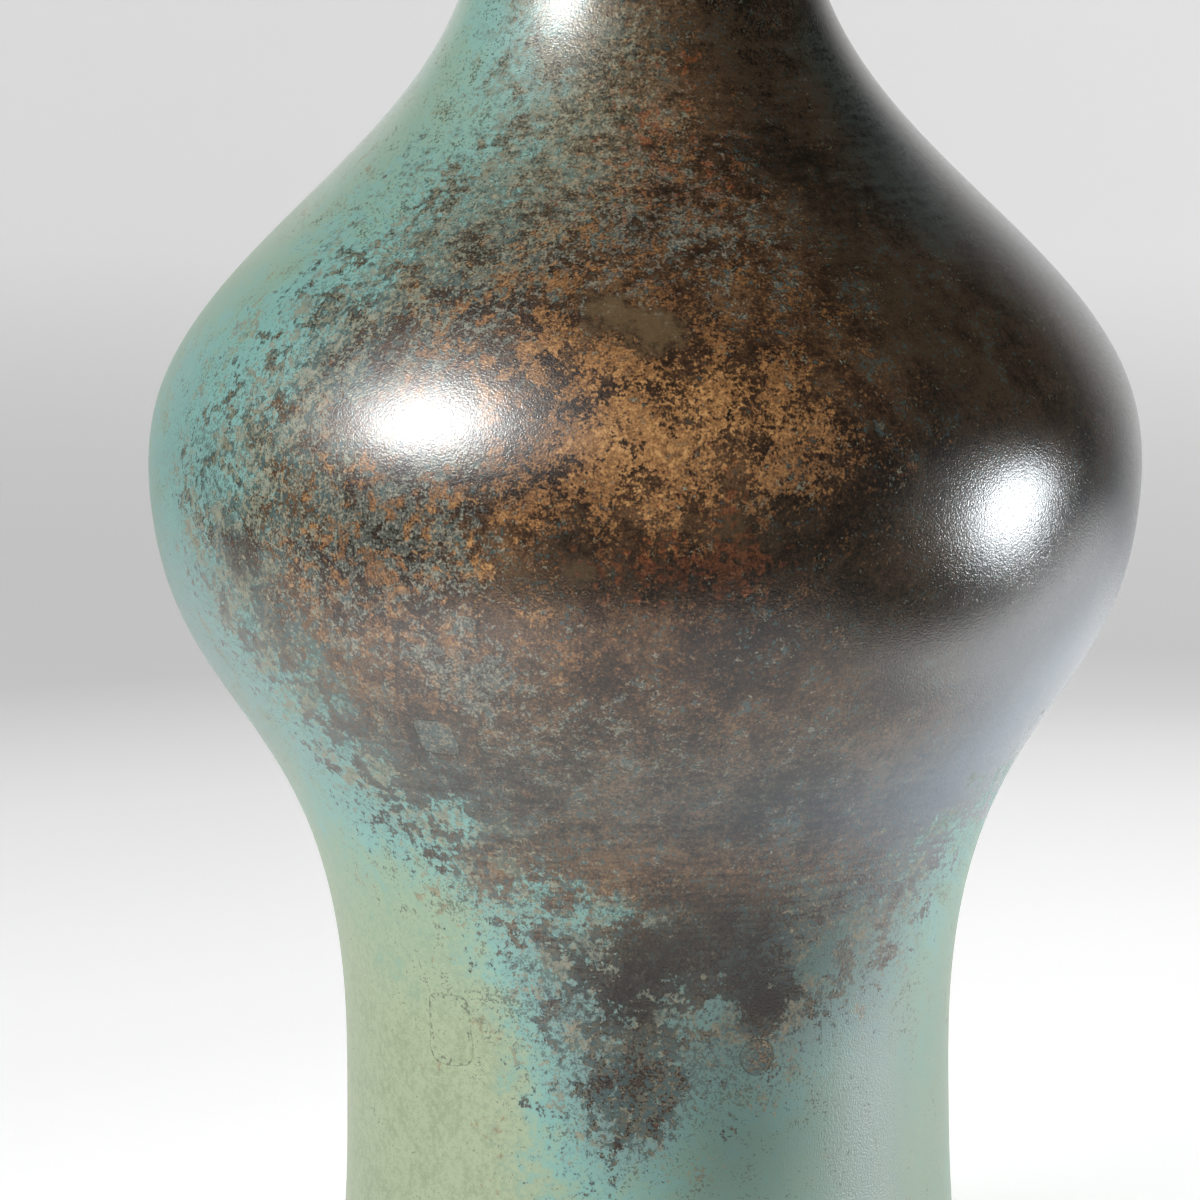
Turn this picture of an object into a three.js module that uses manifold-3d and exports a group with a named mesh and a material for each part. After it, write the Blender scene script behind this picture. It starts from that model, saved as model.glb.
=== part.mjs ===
// A cast copper flower vase, about 30 cm tall, with a trumpet mouth, narrow neck, round belly, waist and
// spreading foot. The body is one casting that is open at both ends. A turned base plate is let into the foot
// from below, seats against a ledge and is sealed with a fillet of solder. Small metal chaplets, which spaced
// the casting core from the mould, stay in the wall, and a round plug fills a drilled-out casting flaw.
// Millimetres, +Z up. The origin is the centre of the foot's standing face, and the front faces -Y.

import * as THREE from "three";
import { mergeVertices } from "three/addons/utils/BufferGeometryUtils.js";
import Module from "manifold-3d";

// Driving dimensions of the outside: radii and heights where the outline stands upright or ends
const HEIGHT = 300;
const MOUTH_RADIUS = 44;
const NECK_RADIUS = 27.4;
const NECK_HEIGHT = 241.2;
const BELLY_RADIUS = 82.5;
const BELLY_HEIGHT = 150;
const WAIST_RADIUS = 50.8;
const WAIST_HEIGHT = 49.5;
const FOOT_RADIUS = 55;

// How far the outline holds its direction on leaving each of those places, and how it leans at its two ends
const MOUTH_REACH = 20;
const MOUTH_LEAN_DEG = 44;
const NECK_UP_REACH = 26;
const NECK_DOWN_REACH = 40.3;
const BELLY_UP_REACH = 35;
const BELLY_DOWN_REACH = 44.7;
const WAIST_UP_REACH = 62.9;
const WAIST_DOWN_REACH = 26;
const FOOT_REACH = 12;
const FOOT_LEAN_DEG = 17;

// Wall, foot ring and the seat of the base plate
const WALL = 3;
const FOOT_EDGE_ROUND = 1.2;
const FOOT_RING_WIDTH = 6;
const LEDGE_WIDTH = 4;
const LEDGE_THICKNESS = 4;
const FOOT_THICKENING = 16;
const BASE_RECESS = 6;
const PLATE_THICKNESS = 4;
const PLATE_CHAMFER = 0.6;
const SOLDER_LEG = 2.4;
const SOLDER_FEATHER = 0.4;

// Chaplets and plug: size on the surface, place on the wall, and how many stand round it
const INSERT_DRAFT = 0.94;
const UPPER_CHAPLET = { width: 7, height: 5.2, centreHeight: 111.7, azimuthDeg: -27.8, count: 3 };
const LOWER_CHAPLET = { width: 9, height: 12, centreHeight: 60.5, azimuthDeg: -38.8, count: 3 };
const REPAIR_PLUG = { radius: 3, centreHeight: 57.6, azimuthDeg: 20.2, count: 1 };
const REPAIR_PLUG_SIDES = 20;

// Clearances between pieces that fit together
const SIDE_GAP = 0.3;

// Facets: the turned pieces have a whole number of facets between neighbouring chaplets
const TURNED_FACETS = 60;
const STEPS = { foot: 5, lowerBelly: 11, upperBelly: 11, mouth: 8, lip: 3, footRound: 3, inside: 17 };
const SOLDER_STEPS = 4;

// Sizes that follow from the driving dimensions
const LIP_ROUND = WALL / 2;
const FOOT_BORE_RADIUS = FOOT_RADIUS - FOOT_RING_WIDTH;
const LEDGE_RADIUS = FOOT_BORE_RADIUS - LEDGE_WIDTH;
const SEAT_HEIGHT = BASE_RECESS + PLATE_THICKNESS;
const LEDGE_TOP = SEAT_HEIGHT + LEDGE_THICKNESS;
const PLATE_RADIUS = FOOT_BORE_RADIUS - SIDE_GAP;

const { degToRad } = THREE.MathUtils;
const wasm = await Module();
wasm.setup();

// A point of a turned profile: distance from the axis, then height
function at(radius, height) {
  return new THREE.Vector2(radius, height);
}

// Outline of the body from the foot to the lip, as four curves that meet upright at waist, belly and neck
function bodyOutline() {
  const mouthLean = degToRad(MOUTH_LEAN_DEG);
  const mouthDirection = at(Math.sin(mouthLean), Math.cos(mouthLean));
  const mouthOutward = at(Math.cos(mouthLean), -Math.sin(mouthLean));
  const lipCentre = at(MOUTH_RADIUS - LIP_ROUND, HEIGHT - LIP_ROUND);
  const lipStart = lipCentre.clone().addScaledVector(mouthOutward, LIP_ROUND);
  const mouthHandle = lipStart.clone().addScaledVector(mouthDirection, -MOUTH_REACH);

  const footLean = degToRad(FOOT_LEAN_DEG);
  const footStart = at(FOOT_RADIUS, FOOT_EDGE_ROUND);
  const footHandle = footStart.clone().addScaledVector(at(-Math.sin(footLean), Math.cos(footLean)), FOOT_REACH);

  const waist = at(WAIST_RADIUS, WAIST_HEIGHT);
  const belly = at(BELLY_RADIUS, BELLY_HEIGHT);
  const neck = at(NECK_RADIUS, NECK_HEIGHT);
  const above = (point, rise) => at(point.x, point.y + rise);
  const { CubicBezierCurve } = THREE;
  return {
    lipCentre,
    mouthLean,
    foot: new CubicBezierCurve(footStart, footHandle, above(waist, -WAIST_DOWN_REACH), waist),
    lowerBelly: new CubicBezierCurve(waist, above(waist, WAIST_UP_REACH), above(belly, -BELLY_DOWN_REACH), belly),
    upperBelly: new CubicBezierCurve(belly, above(belly, BELLY_UP_REACH), above(neck, -NECK_DOWN_REACH), neck),
    mouth: new CubicBezierCurve(neck, above(neck, NECK_UP_REACH), mouthHandle, lipStart),
  };
}

const OUTLINE = bodyOutline();
const OUTSIDE_CURVES = ["foot", "lowerBelly", "upperBelly", "mouth"];

// The inward normal of an outline that runs upwards
function inward(tangent) {
  return at(-tangent.y, tangent.x);
}

// The outside at a height: its radius there and the angle by which it faces up, negative where it faces down
function outsideAt(height) {
  const curve = OUTSIDE_CURVES.map((name) => OUTLINE[name]).find((c) => height <= c.v3.y);
  let low = 0;
  let high = 1;
  while (high - low > 1e-9) {
    const middle = (low + high) / 2;
    if (curve.getPoint(middle).y < height) low = middle;
    else high = middle;
  }
  const normal = inward(curve.getTangent(low)).negate();
  return { radius: curve.getPoint(low).x, facingUp: Math.atan2(normal.y, normal.x) };
}

// Points of an arc from one angle to another, in radians from the outward direction, both ends included
function arc(centre, radius, from, to, steps) {
  return Array.from({ length: steps + 1 }, (_, i) => {
    const angle = from + ((to - from) * i) / steps;
    return at(centre.x + radius * Math.cos(angle), centre.y + radius * Math.sin(angle));
  });
}

// Turns a closed profile, or one that starts and ends on the axis, about Z
function turned(profile) {
  return new THREE.LatheGeometry(profile, TURNED_FACETS).rotateX(Math.PI / 2);
}

// The inside of the wall from the lip down: parallel to the outside, thickening to the ledge over the plate
function insideProfile() {
  const curves = ["mouth", "upperBelly", "lowerBelly", "foot"].map((name) => OUTLINE[name]);
  const lengths = curves.map((curve) => curve.getLength());
  const step = lengths.reduce((sum, length) => sum + length, 0) / STEPS.inside;
  const points = [];
  curves.forEach((curve, i) => {
    const count = Math.max(1, Math.round(lengths[i] / step));
    for (let k = 0; k < count; k++) {
      const t = 1 - k / count;
      points.push(curve.getPointAt(t).addScaledVector(inward(curve.getTangentAt(t)), WALL));
    }
  });
  const clearOfLedge = points.filter((point) => point.y > LEDGE_TOP + FOOT_THICKENING);
  return [...clearOfLedge, at(LEDGE_RADIUS, LEDGE_TOP), at(LEDGE_RADIUS, SEAT_HEIGHT)];
}

// The whole casting before any hole is cut: outside, lip, inside, seat of the plate and foot ring
function uncutWall() {
  const { lipCentre, mouthLean } = OUTLINE;
  const straightUp = Math.PI / 2;
  const footCentre = at(FOOT_RADIUS - FOOT_EDGE_ROUND, FOOT_EDGE_ROUND);
  const footRound = arc(footCentre, FOOT_EDGE_ROUND, -straightUp, 0, STEPS.footRound);
  const outside = OUTSIDE_CURVES.flatMap((name) => OUTLINE[name].getSpacedPoints(STEPS[name]).slice(1));
  const lipOuter = arc(lipCentre, LIP_ROUND, -mouthLean, straightUp, STEPS.lip).slice(1);
  const lipInner = arc(lipCentre, LIP_ROUND, straightUp, Math.PI - mouthLean, STEPS.lip).slice(1, -1);
  const bore = [at(FOOT_BORE_RADIUS, SEAT_HEIGHT), at(FOOT_BORE_RADIUS, 0)];
  const start = footRound[0].clone();
  return turned([...footRound, ...outside, ...lipOuter, ...lipInner, ...insideProfile(), ...bore, start]);
}

// A closed geometry as a solid that can be joined and cut
function solidOf(geometry) {
  const bare = geometry.index ? geometry.toNonIndexed() : geometry.clone();
  bare.deleteAttribute("normal");
  bare.deleteAttribute("uv");
  const merged = mergeVertices(bare);
  const vertProperties = merged.getAttribute("position").array;
  const triVerts = new Uint32Array(merged.index.array);
  return new wasm.Manifold(new wasm.Mesh({ numProp: 3, vertProperties, triVerts }));
}

// A solid back as a geometry
function geometryOf(solid) {
  const { vertProperties, triVerts } = solid.getMesh();
  const geometry = new THREE.BufferGeometry();
  geometry.setAttribute("position", new THREE.BufferAttribute(vertProperties, 3));
  geometry.setIndex(new THREE.BufferAttribute(triVerts, 1));
  geometry.computeVertexNormals();
  return geometry;
}

// Narrows the inner end of an insert's blank, whose axis is Z with the outer end up, so that it wedges in place
function draft(geometry) {
  const position = geometry.getAttribute("position");
  for (let i = 0; i < position.count; i++) {
    if (position.getZ(i) > 0) continue;
    position.setXY(i, position.getX(i) * INSERT_DRAFT, position.getY(i) * INSERT_DRAFT);
  }
  return geometry;
}

// Blanks run well past both faces of the wall, which trims them; grow widens one into the cutter of its hole
const BLANK_DEPTH = 4 * WALL;

function chapletBlank({ width, height }, grow) {
  return draft(new THREE.BoxGeometry(width + 2 * grow, height + 2 * grow, BLANK_DEPTH));
}

function plugBlank({ radius }, grow) {
  const cylinder = new THREE.CylinderGeometry(radius + grow, radius + grow, BLANK_DEPTH, REPAIR_PLUG_SIDES);
  return draft(cylinder.rotateX(Math.PI / 2));
}

// Stands a blank square on the wall at its height and azimuth, which is measured from the front towards +X
function onWall(geometry, { centreHeight, azimuthDeg }) {
  const { radius, facingUp } = outsideAt(centreHeight);
  return geometry
    .translate(0, 0, -WALL / 2)
    .rotateX(Math.PI / 2 - facingUp)
    .translate(0, -radius, centreHeight)
    .rotateZ(degToRad(azimuthDeg));
}

function turnAbout(copy, count) {
  return (2 * Math.PI * copy) / count;
}

const FINISH = {
  body: { color: 0x4b4237, roughness: 0.34, metalness: 0.55 },
  plate: { color: 0x4f4130, roughness: 0.45, metalness: 0.6 },
  solder: { color: 0x84827c, roughness: 0.5, metalness: 0.8 },
  chaplet: { color: 0x8f9a80, roughness: 0.55, metalness: 0.4 },
  plug: { color: 0x6f6a50, roughness: 0.55, metalness: 0.45 },
};

const vase = new THREE.Group();

function addMesh(name, geometry, finish) {
  const mesh = new THREE.Mesh(geometry, new THREE.MeshStandardMaterial(finish));
  mesh.name = name;
  vase.add(mesh);
  return mesh;
}

// Body with the holes for chaplets and plug cut through it, and the pieces that fill them flush
function addBodyAndInserts() {
  const wall = solidOf(uncutWall());
  const inserts = [
    { name: "upper_chaplet", place: UPPER_CHAPLET, blank: chapletBlank, finish: FINISH.chaplet },
    { name: "lower_chaplet", place: LOWER_CHAPLET, blank: chapletBlank, finish: FINISH.chaplet },
    { name: "repair_plug", place: REPAIR_PLUG, blank: plugBlank, finish: FINISH.plug },
  ];
  let body = wall;
  for (const { name, place, blank, finish } of inserts) {
    const piece = geometryOf(wall.intersect(solidOf(onWall(blank(place, 0), place))));
    const cutter = onWall(blank(place, SIDE_GAP), place);
    for (let copy = 0; copy < place.count; copy++) {
      const turn = turnAbout(copy, place.count);
      body = body.subtract(solidOf(cutter.clone().rotateZ(turn)));
      const mesh = addMesh(place.count > 1 ? `${name}_${copy + 1}` : name, piece, finish);
      mesh.rotation.z = turn;
    }
  }
  addMesh("vase_body", geometryOf(body), FINISH.body);
}

// A turned disc, chamfered all round, that seats face to face against the ledge in the foot
function addBasePlate() {
  const rim = PLATE_RADIUS - PLATE_CHAMFER;
  const profile = [
    at(0, 0),
    at(rim, 0),
    at(PLATE_RADIUS, PLATE_CHAMFER),
    at(PLATE_RADIUS, PLATE_THICKNESS - PLATE_CHAMFER),
    at(rim, PLATE_THICKNESS),
    at(0, PLATE_THICKNESS),
  ];
  addMesh("base_plate", turned(profile), FINISH.plate).position.z = BASE_RECESS;
}

// A hollow-faced fillet of solder in the corner between the plate's underside and the bore of the foot
function addSolderRing() {
  const corner = at(PLATE_RADIUS, 0);
  const hollowCentre = at(corner.x - SOLDER_LEG, corner.y - SOLDER_LEG);
  const hollow = arc(hollowCentre, SOLDER_LEG, Math.PI / 2, 0, SOLDER_STEPS);
  const face = hollow.map((point) => at(point.x - SOLDER_FEATHER, point.y - SOLDER_FEATHER));
  const profile = [corner, at(face[0].x, corner.y), ...face, at(corner.x, face.at(-1).y), corner.clone()];
  addMesh("base_solder_ring", turned(profile), FINISH.solder).position.z = BASE_RECESS;
}

addBodyAndInserts();
addBasePlate();
addSolderRing();

export default vase;
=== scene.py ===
# %% [markdown]
# A patinated copper vase.
# The vase is one thick casting: a foot, a narrow waist, a round belly and a slim neck that opens
# into a flared mouth. Small metal chaplets, which held the mould's core, are still in the wall, a
# flaw was drilled out and plugged, and a plate is soldered into the foot.
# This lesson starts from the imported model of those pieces, which gives every size and place, and
# makes what that model leaves out: the smooth wall, the turned plate, and above all the patina.

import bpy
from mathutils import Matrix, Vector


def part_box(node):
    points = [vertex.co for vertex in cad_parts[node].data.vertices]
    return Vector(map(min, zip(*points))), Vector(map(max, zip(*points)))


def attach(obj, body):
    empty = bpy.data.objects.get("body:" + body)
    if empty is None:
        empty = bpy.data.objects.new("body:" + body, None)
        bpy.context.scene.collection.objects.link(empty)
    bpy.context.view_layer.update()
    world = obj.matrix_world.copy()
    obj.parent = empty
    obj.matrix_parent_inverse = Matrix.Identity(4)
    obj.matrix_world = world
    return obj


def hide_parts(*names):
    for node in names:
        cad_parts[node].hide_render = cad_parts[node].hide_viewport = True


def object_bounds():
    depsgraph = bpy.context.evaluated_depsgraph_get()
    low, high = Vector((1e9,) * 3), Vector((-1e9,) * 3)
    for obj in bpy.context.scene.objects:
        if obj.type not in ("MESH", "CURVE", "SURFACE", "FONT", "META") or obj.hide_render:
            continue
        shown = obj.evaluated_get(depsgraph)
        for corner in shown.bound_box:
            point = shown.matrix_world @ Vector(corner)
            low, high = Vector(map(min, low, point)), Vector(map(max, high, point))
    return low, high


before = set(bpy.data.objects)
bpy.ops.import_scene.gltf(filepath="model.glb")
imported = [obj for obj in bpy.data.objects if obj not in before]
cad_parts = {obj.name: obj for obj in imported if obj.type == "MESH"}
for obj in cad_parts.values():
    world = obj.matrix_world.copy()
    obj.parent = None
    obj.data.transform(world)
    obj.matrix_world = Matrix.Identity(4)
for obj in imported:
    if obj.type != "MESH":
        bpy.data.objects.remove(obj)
cad_low, cad_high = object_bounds()
print("pieces of the vase:", ", ".join(sorted(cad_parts)))

# %% Tools and units
import math
from types import SimpleNamespace

import bmesh
import bpy
import numpy as np
from mathutils import Matrix, Quaternion, Vector

MM = 0.001
scene = bpy.context.scene
vase_height = cad_high.z
belly_radius = cad_high.x
print(f"the vase is {vase_height / MM:.0f} mm tall and {2 * belly_radius / MM:.0f} mm across")

# %% [markdown]
# The camera.
# The picture is a close one: a long lens a metre away, so the belly fills the frame and the mouth and
# foot are cut off. A long lens keeps the two sides of the vase almost parallel. The camera stands a
# little above the belly and looks down, which the curved edge of the highlights gives away.

# %% Set the camera
CAMERA_DISTANCE = 1.0
CAMERA_RISE = math.radians(7)
CAMERA_TILT = math.radians(1.415)
CAMERA_PAN = math.radians(0.441)
CAMERA_ROLL = math.radians(-0.315)
LENS = 180
SENSOR = 36

belly_centre = Vector((0, 0, vase_height / 2))
camera_offset = Vector((0, -math.cos(CAMERA_RISE), math.sin(CAMERA_RISE))) * CAMERA_DISTANCE
camera_data = bpy.data.cameras.new("photo_camera")
camera_data.lens = LENS
camera_data.sensor_width = SENSOR
camera = bpy.data.objects.new("photo_camera", camera_data)
look_down = Matrix.Rotation(math.pi / 2 - CAMERA_RISE - CAMERA_TILT, 4, "X")
turn_left = Matrix.Rotation(CAMERA_PAN, 4, "Z")
roll_over = Matrix.Rotation(CAMERA_ROLL, 4, "Z")
camera.matrix_world = Matrix.Translation(belly_centre + camera_offset) @ turn_left @ look_down @ roll_over
scene.collection.objects.link(camera)
scene.camera = camera
scene.view_settings.view_transform = "Standard"
print("the camera stands at", [round(v, 3) for v in camera.location])

# %% [markdown]
# Shader maths.
# A patina is a stack of stains, and each stain is a little sum: how green the spot is, plus some
# noise, cut off at a level. Wired by hand that takes hundreds of nodes. One small class lets the sums
# be written as ordinary Python instead: arithmetic on a Signal adds Math nodes, and every other node
# comes from its node method.

# %% A class for shader sums
class Signal:
    """One output socket. Arithmetic on it adds Math nodes to its tree."""

    def __init__(self, tree, socket=None):
        self.tree = tree
        self.socket = socket

    def node(self, kind, settings=None, sockets=None, output=0):
        """Add a node, set its settings first and its sockets next, and return one output."""
        made = self.tree.nodes.new(kind)
        for name, setting in (settings or {}).items():
            if name == "stops":
                lay_stops(made.color_ramp, setting)
            else:
                setattr(made, name, setting)
        for key, value in (sockets or {}).items():
            if isinstance(value, Signal):
                self.tree.links.new(value.socket, made.inputs[key])
            else:
                made.inputs[key].default_value = value
        return Signal(self.tree, made.outputs[output] if len(made.outputs) else None)

    def math(self, operation, first, second):
        """Add a Math node between two values, of which at least one is a Signal."""
        return self.node("ShaderNodeMath", {"operation": operation}, {0: first, 1: second})

    def __add__(self, other):
        return self.math("ADD", self, other)

    def __sub__(self, other):
        return self.math("SUBTRACT", self, other)

    def __rsub__(self, other):
        return self.math("SUBTRACT", other, self)

    def __mul__(self, other):
        return self.math("MULTIPLY", self, other)

    def __truediv__(self, other):
        return self.math("DIVIDE", self, other)

    __radd__ = __add__
    __rmul__ = __mul__


def lay_stops(color_ramp, stops):
    """Give a colour ramp these (position, colour) stops."""
    while len(color_ramp.elements) < len(stops):
        color_ramp.elements.new(1.0)
    for element, (position, colour) in zip(color_ramp.elements, stops):
        element.position = position
        element.color = colour


# %% Words for the sums
MIX_SHARE, MIX_UNDER, MIX_OVER, MIX_COLOUR = 0, 6, 7, 2


def fade(signal, low, high):
    """A soft step: 0 below low, 1 above high."""
    limits = {"Value": signal, "From Min": low, "From Max": high}
    return signal.node("ShaderNodeMapRange", {"interpolation_type": "SMOOTHSTEP"}, limits)


def mix(share, under, over):
    """Lay one colour over another."""
    sockets = {MIX_SHARE: share, MIX_UNDER: under, MIX_OVER: over}
    return share.node("ShaderNodeMix", {"data_type": "RGBA"}, sockets, MIX_COLOUR)


def ramp(signal, stops):
    """Turn a level from 0 to 1 into a colour."""
    return signal.node("ShaderNodeValToRGB", {"stops": stops}, {"Fac": signal})


def stretch(place, scale, shift=(0, 0, 0)):
    """Scale a place along each axis and slide it: noise is drawn out where the scale is small."""
    settings = {"operation": "MULTIPLY_ADD"}
    return place.node("ShaderNodeVectorMath", settings, {0: place, 1: scale, 2: shift})


def length(place):
    """How far a place is from the origin."""
    return place.node("ShaderNodeVectorMath", {"operation": "LENGTH"}, {0: place}, output="Value")


def along_axis(place, axis):
    """One coordinate of a place."""
    return place.node("ShaderNodeSeparateXYZ", None, {0: place}, output=axis)


# %% Open and close a material
def new_material(name):
    """An empty material, with a Signal to start its sums and the place on the piece."""
    material = bpy.data.materials.new(name)
    material.use_nodes = True
    material.node_tree.nodes.clear()
    start = Signal(material.node_tree)
    place = start.node("ShaderNodeTexCoord", output="Object")
    return material, start, place


def finish_material(start, constants, **varying):
    """Close a material with its surface shader: the constants on its sockets, the rest linked."""
    sockets = {**constants, **{key.replace("_", " "): value for key, value in varying.items()}}
    surface = start.node("ShaderNodeBsdfPrincipled", sockets=sockets, output="BSDF")
    start.node("ShaderNodeOutputMaterial", sockets={"Surface": surface})


# %% [markdown]
# The stage.
# A white table top fades into a grey floor and a pale wall behind it. A real studio bends a roll of
# paper for that. Here one bowl does the same on every side, so that the vase can be looked at from
# anywhere. The bowl also glows by itself, which is painted light: brighter the nearer it is to the vase
# and, because more light falls in from the right, on the right side. A painted pool of light on the
# table, in front on the left, shows in the wax below the belly.

# %% Make the bowl of the stage
BOWL_RADIUS = 2.6
BOWL_BEND = 0.5
BOWL_TOP = 2.6
BOWL_SEGMENTS = 96
BEND_STEPS = 12
FLOOR_RINGS = (0, 0.5, 1.2)
FLOOR_GAP = 0.02 * MM
SAME_POINT = 0.001 * MM


def revolve(name, profile, segments, closed=False):
    """A mesh turned from (radius, height) points. A closed profile comes back to its start."""
    rows = len(profile)
    angles = np.arange(segments) * (2 * math.pi / segments)
    radius, height = np.array(profile, dtype=float).T
    x = radius[:, None] * np.sin(angles)
    y = -radius[:, None] * np.cos(angles)
    z = np.repeat(height[:, None], segments, axis=1)
    corners = np.stack([x, y, z], axis=-1).reshape(-1, 3)
    row = np.arange(rows if closed else rows - 1)[:, None]
    column = np.arange(segments)[None, :]
    next_row = (row + 1) % rows
    next_column = (column + 1) % segments
    quads = np.stack(np.broadcast_arrays(row * segments + column, row * segments + next_column,
                                         next_row * segments + next_column,
                                         next_row * segments + column), axis=-1)
    mesh = bpy.data.meshes.new(name)
    mesh.from_pydata(corners.tolist(), [], quads.reshape(-1, 4).tolist())
    work = bmesh.new()
    work.from_mesh(mesh)
    bmesh.ops.remove_doubles(work, verts=work.verts, dist=SAME_POINT)
    work.to_mesh(mesh)
    work.free()
    mesh.shade_smooth()
    made = bpy.data.objects.new(name, mesh)
    scene.collection.objects.link(made)
    return made


floor = [(radius, 0) for radius in FLOOR_RINGS]
bend = [(BOWL_RADIUS - BOWL_BEND + BOWL_BEND * math.sin(t), BOWL_BEND - BOWL_BEND * math.cos(t))
        for t in np.linspace(0, math.pi / 2, BEND_STEPS)]
bowl = revolve("stage_bowl", [*floor, *bend, (BOWL_RADIUS, BOWL_TOP)], BOWL_SEGMENTS)
bowl.location.z = -FLOOR_GAP
print("the stage is a bowl of", BOWL_RADIUS, "m")

# %% Colour the bowl
# Places are in metres. The shades are (share of the way to the table's edge, brightness).
TABLE_EDGE = 0.74
TABLE_SHIFT = 0.10
GREY_END = 2.4
PAINTED_GLOW_STRENGTH = 0.75
SUNNY_SIDE, SUNNY_GAIN = (-0.3, 0.5), 0.45
MIDDLE = (-0.15, 0.12)
TABLE_SHADES = [(0.0, 0.86), (0.45, 0.80), (0.75, 0.62), (1.0, 0.46)]
LEFT_SHADES = [(0.0, 0.72), (0.28, 0.50), (0.40, 0.44), (0.55, 0.475), (0.75, 0.48), (0.85, 0.44),
               (1.0, 0.35)]
RIGHT_SHADES = [(0.0, 0.78), (0.2, 0.73), (0.36, 0.60), (0.55, 0.60), (0.68, 0.575), (0.78, 0.52),
                (0.88, 0.415), (1.0, 0.37)]
FAR_FLOOR, FAR_LEFT, FAR_RIGHT = 0.6, 0.49, 0.57
PATCH_ACROSS = ((-0.32, -0.20), (-0.12, -0.03))
PATCH_DEEP = ((-0.40, -0.28), (-0.14, 0.0))
PATCH_LIGHT = 1.9


def grey(level):
    return (level, level, level, 1)


def shades(signal, stops):
    """Turn a level from 0 to 1 into a grey, from (position, brightness) stops."""
    return ramp(signal, [(position, grey(level)) for position, level in stops])


def between(signal, rise, fall):
    """1 between two soft edges, each given as where it starts and where it ends."""
    return fade(signal, *rise) * (1 - fade(signal, *fall))


material, start, place = new_material("stage_paper")
rightward = along_axis(place, "X")
backward = along_axis(place, "Y")
away = length(stretch(place, (1, 1, 0), (-TABLE_SHIFT, 0, 0)))
sunny = fade(rightward, *SUNNY_SIDE)
beyond = fade(away + sunny * SUNNY_GAIN, TABLE_EDGE, GREY_END)
to_edge = away * (1 / TABLE_EDGE)
# The bowl's glow is painted light: brighter near the vase, and brighter on the right side.
painted_glow = mix(fade(rightward, *MIDDLE), shades(to_edge, LEFT_SHADES), shades(to_edge, RIGHT_SHADES))
# A painted pool of light on the table, in front on the left.
painted_light_pool = between(rightward, *PATCH_ACROSS) * between(backward, *PATCH_DEEP)
painted_glow = mix(painted_light_pool, painted_glow, grey(PATCH_LIGHT))
far_painted_glow = mix(sunny, grey(FAR_LEFT), grey(FAR_RIGHT))
finish_material(start, {"Roughness": 0.8, "Specular IOR Level": 0.1, "Emission Strength": PAINTED_GLOW_STRENGTH},
                Base_Color=mix(beyond, shades(to_edge, TABLE_SHADES), grey(FAR_FLOOR)),
                Emission_Color=mix(beyond, painted_glow, far_painted_glow))
bowl.data.materials.append(material)
print("the table is white up to", TABLE_EDGE, "m")

# %% [markdown]
# The light.
# One soft box stands in front, up on the left: it is the oval highlight on the belly and the small one
# on the neck. A second, smaller lamp stands low on the right, with a bluer, leaning highlight. Both are
# brighter in the middle of their cloth than at its edge, so each is made of a bright oval and wider,
# dimmer ones round it.
# Lamps have to be bright to show as white in a thin coat of wax, and that much light would bleach the
# colours, so what the wax reflects and what the colours receive are separate lamps in one place.

# %% Hang the lamps
KEY = (-55.5, 32)
LOW = (87.5, -8.5)
LOW_CORE = (86.3, -8.8)
LOW_CLOTH = (83.5, -7.5)
LOW_SCRIM = (81, -6)
LOW_LEAN = -32
OVERHEAD = (-20, 78)
DAYLIGHT = (0.90, 0.96, 1.0)


def lamp(name, direction, distance, size, power, shine, tint=(1, 1, 1), lean=0):
    """A soft oval lamp. Its direction is (azimuth from the front towards the right, rise above the belly).

    A lamp with shine is only seen in reflections, and one without it only lights the colours."""
    data = bpy.data.lights.new(name, "AREA")
    data.shape = "ELLIPSE"
    data.size, data.size_y = size
    data.energy = power
    data.color = tint
    made = bpy.data.objects.new(name, data)
    azimuth, rise = (math.radians(angle) for angle in direction)
    level = Vector((math.sin(azimuth), -math.cos(azimuth), 0))
    towards = level * math.cos(rise) + Vector((0, 0, math.sin(rise)))
    made.location = belly_centre + towards * distance
    facing = towards.to_track_quat("Z", "Y") @ Quaternion((0, 0, 1), math.radians(lean))
    made.rotation_euler = facing.to_euler()
    made.visible_camera = False
    made.visible_diffuse = not shine
    made.visible_glossy = shine
    scene.collection.objects.link(made)
    print(f"{name}: {power} W")


lamp("key_softbox", KEY, distance=1.06, size=(0.5, 0.5), power=6.2, shine=False)
lamp("key_core", KEY, distance=1.04, size=(0.46, 0.46), power=14, shine=True)
lamp("key_cloth", KEY, distance=1.06, size=(0.85, 0.78), power=4.4, shine=True)
lamp("key_scrim", KEY, distance=1.08, size=(1.5, 1.25), power=8.0, shine=True)
lamp("low_softbox", LOW, distance=0.57, size=(0.2, 0.2), power=1.0, shine=False)
lamp("low_core", LOW_CORE, distance=0.56, size=(0.13, 0.24), power=2.2, shine=True, tint=DAYLIGHT,
     lean=LOW_LEAN)
lamp("low_cloth", LOW_CLOTH, distance=0.58, size=(0.20, 0.25), power=0.6, shine=True, tint=DAYLIGHT,
     lean=LOW_LEAN)
lamp("low_scrim", LOW_SCRIM, distance=0.60, size=(0.46, 0.46), power=0.3, shine=True, tint=DAYLIGHT)
lamp("top_fill", OVERHEAD, distance=2.0, size=(1.6, 1.6), power=5, shine=False)

# %% Dim the room
ROOM_LIGHT = 0.08
world = bpy.data.worlds.new("room")
world.use_nodes = True
world.node_tree.nodes["Background"].inputs["Color"].default_value = (1, 1, 1, 1)
world.node_tree.nodes["Background"].inputs["Strength"].default_value = ROOM_LIGHT
world.cycles_visibility.glossy = False
scene.world = world
print("the room's own light is", ROOM_LIGHT)
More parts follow.
